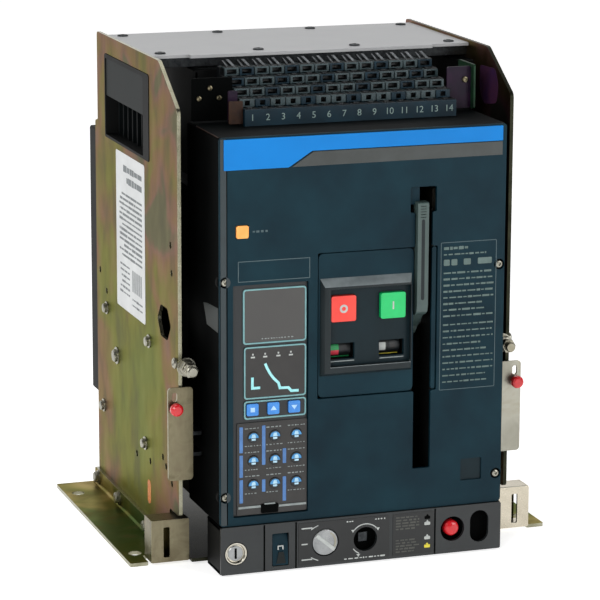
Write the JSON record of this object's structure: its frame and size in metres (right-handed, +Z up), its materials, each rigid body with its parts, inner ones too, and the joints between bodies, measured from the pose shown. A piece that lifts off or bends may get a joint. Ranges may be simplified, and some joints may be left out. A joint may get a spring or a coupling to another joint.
{
  "type": "air circuit breaker",
  "caption": "Draw-out air circuit breaker in its steel cradle: dark front cover with buttons, charging lever and trip unit, racking panel, stepped terminal block, footed side plates.",
  "frame": {"origin": "centre of the four mounting holes, on the plane that the feet stand on", "axes": "+X to the right seen from the front, +Y from the front to the back, +Z up"},
  "size_m": [0.358, 0.3555, 0.4],
  "materials": {
    "zinc_steel": "yellow-passivated zinc plate",
    "bright_zinc": "clear zinc plate",
    "grey_sheet": "light grey powder coat",
    "cover_plastic": "fine moulded texture",
    "panel_plastic": "fine moulded texture",
    "black_plastic": "glass-filled moulding",
    "blue_plastic": "satin",
    "red_plastic": "satin",
    "green_plastic": "satin",
    "orange_plastic": "satin",
    "key_plastic": "satin",
    "dial_plastic": "satin",
    "screen_pane": "tinted window",
    "terminal_plastic": "moulded",
    "nickel": "nickel plate",
    "copper": "silver-flashed copper",
    "steel": "machined",
    "core_plastic": "cast resin"
  },
  "bodies": {
    "cradle": {"side_plate_left": "zinc_steel", "side_plate_right": "zinc_steel", "foot_bracket_left": "zinc_steel", "foot_bracket_right": "zinc_steel", "corner_bracket_left": "bright_zinc", "corner_bracket_right": "bright_zinc", "floor_plate": "zinc_steel", "top_cover_plate": "grey_sheet", "top_cross_bars": "bright_zinc", "rear_housing": "black_plastic", "power_terminals": "copper", "frame_bolts": "steel", "racking_panel": "panel_plastic"},
    "lock_cylinder": {"key_lock_barrel": "nickel"},
    "padlock_slide": {"padlock_tab": "steel"},
    "pointer": {"position_pointer": "nickel"},
    "release": {"racking_release_button": "red_plastic"},
    "screw": {"racking_screw": "steel"},
    "carriage": {"racking_carriage": "bright_zinc"},
    "left_rail": {"rail_left": "bright_zinc"},
    "right_rail": {"rail_right": "bright_zinc"},
    "left_latch": {"rail_latch_left": "red_plastic"},
    "right_latch": {"rail_latch_right": "red_plastic"},
    "breaker": {"front_cover": "cover_plastic", "fascia_strip": "blue_plastic", "cover_screws": "steel", "button_module": "cover_plastic", "mechanism_frame": "steel", "closing_spring": "steel", "trip_unit": "panel_plastic", "display_window": "screen_pane", "terminal_block": "terminal_plastic", "terminal_clips": "bright_zinc", "pole_housing": "black_plastic", "fixed_contacts": "copper", "finger_clusters": "copper", "current_transformers": "core_plastic", "arc_chutes": "black_plastic", "arc_splitter_plates": "steel"},
    "off_push": {"off_button": "red_plastic"},
    "on_push": {"on_button": "green_plastic"},
    "reset_push": {"reset_button": "orange_plastic"},
    "state_drum": {"open_closed_flag": "green_plastic"},
    "charge_drum": {"spring_charged_flag": "dial_plastic"},
    "lever": {"charging_lever": "cover_plastic"},
    "cam": {"cam_shaft": "steel"},
    "contact_set": {"main_shaft": "steel", "moving_contacts": "copper"},
    "left_key": {"key_left": "key_plastic"},
    "middle_key": {"key_middle": "key_plastic"},
    "right_key": {"key_right": "key_plastic"},
    "dial_1": {"setting_dial_1": "dial_plastic"},
    "dial_2": {"setting_dial_2": "dial_plastic"},
    "dial_3": {"setting_dial_3": "dial_plastic"},
    "dial_4": {"setting_dial_4": "dial_plastic"},
    "dial_5": {"setting_dial_5": "dial_plastic"},
    "dial_6": {"setting_dial_6": "dial_plastic"},
    "dial_7": {"setting_dial_7": "dial_plastic"},
    "dial_8": {"setting_dial_8": "dial_plastic"},
    "dial_9": {"setting_dial_9": "dial_plastic"}
  },
  "joints": [
    {"name": "racking_travel", "type": "slide", "parent": "cradle", "child": "carriage", "axis": [0, -1, 0], "range_m": [0, 0.05]},
    {"name": "racking_screw_turn", "type": "hinge", "parent": "cradle", "child": "screw", "pos_m": [0.002, -0.148, 0.021], "axis": [0, -1, 0], "range_deg": [0, 3601]},
    {"name": "position_pointer_turn", "type": "hinge", "parent": "cradle", "child": "pointer", "pos_m": [-0.032, -0.16, 0.0214], "axis": [0, -1, 0], "range_deg": [0, 90.1]},
    {"name": "withdrawal", "type": "slide", "parent": "carriage", "child": "breaker", "axis": [0, -1, 0], "range_m": [0, 0.25]},
    {"name": "left_rail_slide", "type": "slide", "parent": "cradle", "child": "left_rail", "axis": [0, -1, 0], "range_m": [0, 0.2]},
    {"name": "right_rail_slide", "type": "slide", "parent": "cradle", "child": "right_rail", "axis": [0, -1, 0], "range_m": [0, 0.2]},
    {"name": "left_latch_push", "type": "slide", "parent": "left_rail", "child": "left_latch", "axis": [0, 1, 0], "range_m": [0, 0.0025], "stiffness_N_per_m": 400, "springref_m": -0.003},
    {"name": "right_latch_push", "type": "slide", "parent": "right_rail", "child": "right_latch", "axis": [0, 1, 0], "range_m": [0, 0.0025], "stiffness_N_per_m": 400, "springref_m": -0.003},
    {"name": "key_lock_turn", "type": "hinge", "parent": "cradle", "child": "lock_cylinder", "pos_m": [-0.1064, -0.15, 0.019], "axis": [0, -1, 0], "range_deg": [0, 90]},
    {"name": "padlock_tab_pull", "type": "slide", "parent": "cradle", "child": "padlock_slide", "axis": [0, -1, 0], "range_m": [0, 0.018]},
    {"name": "racking_release_push", "type": "slide", "parent": "cradle", "child": "release", "axis": [0, 1, 0], "range_m": [0, 0.003], "stiffness_N_per_m": 400, "springref_m": -0.003},
    {"name": "off_button_push", "type": "slide", "parent": "breaker", "child": "off_push", "axis": [0, 1, 0], "range_m": [0, 0.0035], "stiffness_N_per_m": 500, "springref_m": -0.003},
    {"name": "on_button_push", "type": "slide", "parent": "breaker", "child": "on_push", "axis": [0, 1, 0], "range_m": [0, 0.0035], "stiffness_N_per_m": 500, "springref_m": -0.003},
    {"name": "reset_button_push", "type": "slide", "parent": "breaker", "child": "reset_push", "axis": [0, 1, 0], "range_m": [0, 0.003], "stiffness_N_per_m": 400, "springref_m": -0.003},
    {"name": "key_left_push", "type": "slide", "parent": "breaker", "child": "left_key", "axis": [0, 1, 0], "range_m": [0, 0.001], "stiffness_N_per_m": 600, "springref_m": -0.001},
    {"name": "key_middle_push", "type": "slide", "parent": "breaker", "child": "middle_key", "axis": [0, 1, 0], "range_m": [0, 0.001], "stiffness_N_per_m": 600, "springref_m": -0.001},
    {"name": "key_right_push", "type": "slide", "parent": "breaker", "child": "right_key", "axis": [0, 1, 0], "range_m": [0, 0.001], "stiffness_N_per_m": 600, "springref_m": -0.001},
    {"name": "dial_1_turn", "type": "hinge", "parent": "breaker", "child": "dial_1", "pos_m": [-0.091, -0.16, 0.1122], "axis": [0, -1, 0], "range_deg": [0, 300]},
    {"name": "dial_2_turn", "type": "hinge", "parent": "breaker", "child": "dial_2", "pos_m": [-0.0732, -0.16, 0.1122], "axis": [0, -1, 0], "range_deg": [0, 300]},
    {"name": "dial_3_turn", "type": "hinge", "parent": "breaker", "child": "dial_3", "pos_m": [-0.0554, -0.16, 0.1122], "axis": [0, -1, 0], "range_deg": [0, 300]},
    {"name": "dial_4_turn", "type": "hinge", "parent": "breaker", "child": "dial_4", "pos_m": [-0.091, -0.16, 0.0928], "axis": [0, -1, 0], "range_deg": [0, 300]},
    {"name": "dial_5_turn", "type": "hinge", "parent": "breaker", "child": "dial_5", "pos_m": [-0.0732, -0.16, 0.0928], "axis": [0, -1, 0], "range_deg": [0, 300]},
    {"name": "dial_6_turn", "type": "hinge", "parent": "breaker", "child": "dial_6", "pos_m": [-0.0554, -0.16, 0.0928], "axis": [0, -1, 0], "range_deg": [0, 300]},
    {"name": "dial_7_turn", "type": "hinge", "parent": "breaker", "child": "dial_7", "pos_m": [-0.091, -0.16, 0.0734], "axis": [0, -1, 0], "range_deg": [0, 300]},
    {"name": "dial_8_turn", "type": "hinge", "parent": "breaker", "child": "dial_8", "pos_m": [-0.0732, -0.16, 0.0734], "axis": [0, -1, 0], "range_deg": [0, 300]},
    {"name": "dial_9_turn", "type": "hinge", "parent": "breaker", "child": "dial_9", "pos_m": [-0.0554, -0.16, 0.0734], "axis": [0, -1, 0], "range_deg": [0, 300]},
    {"name": "charging_lever_swing", "type": "hinge", "parent": "breaker", "child": "lever", "pos_m": [0.0478, -0.134, 0.192], "axis": [1, 0, 0], "range_deg": [0, 120], "stiffness_Nm_per_rad": 0.4, "springref_deg": -34.38},
    {"name": "cam_shaft_turn", "type": "hinge", "parent": "breaker", "child": "cam", "pos_m": [0.004, -0.134, 0.192], "axis": [1, 0, 0], "range_deg": [0, 180], "deforming": ["closing_spring"]},
    {"name": "contact_close", "type": "hinge", "parent": "breaker", "child": "contact_set", "pos_m": [0, -0.02, 0.152], "axis": [1, 0, 0], "range_deg": [-16, 0], "stiffness_Nm_per_rad": 20, "springref_deg": 14.32},
    {"name": "state_flag_turn", "type": "hinge", "parent": "breaker", "child": "state_drum", "pos_m": [-0.0179, -0.1485, 0.1765], "axis": [1, 0, 0], "range_deg": [0, 60.1]},
    {"name": "charge_flag_turn", "type": "hinge", "parent": "breaker", "child": "charge_drum", "pos_m": [0.0236, -0.1485, 0.1765], "axis": [1, 0, 0], "range_deg": [0, 60.1]}
  ],
  "couplings": [
    {"joint": "racking_screw_turn", "follows": "racking_travel", "rad_per_m": 1256.6},
    {"joint": "position_pointer_turn", "follows": "racking_travel", "rad_per_m": 31.416},
    {"joint": "state_flag_turn", "follows": "contact_close", "ratio": -3.75},
    {"joint": "charge_flag_turn", "follows": "cam_shaft_turn", "ratio": 0.33333}
  ]
}
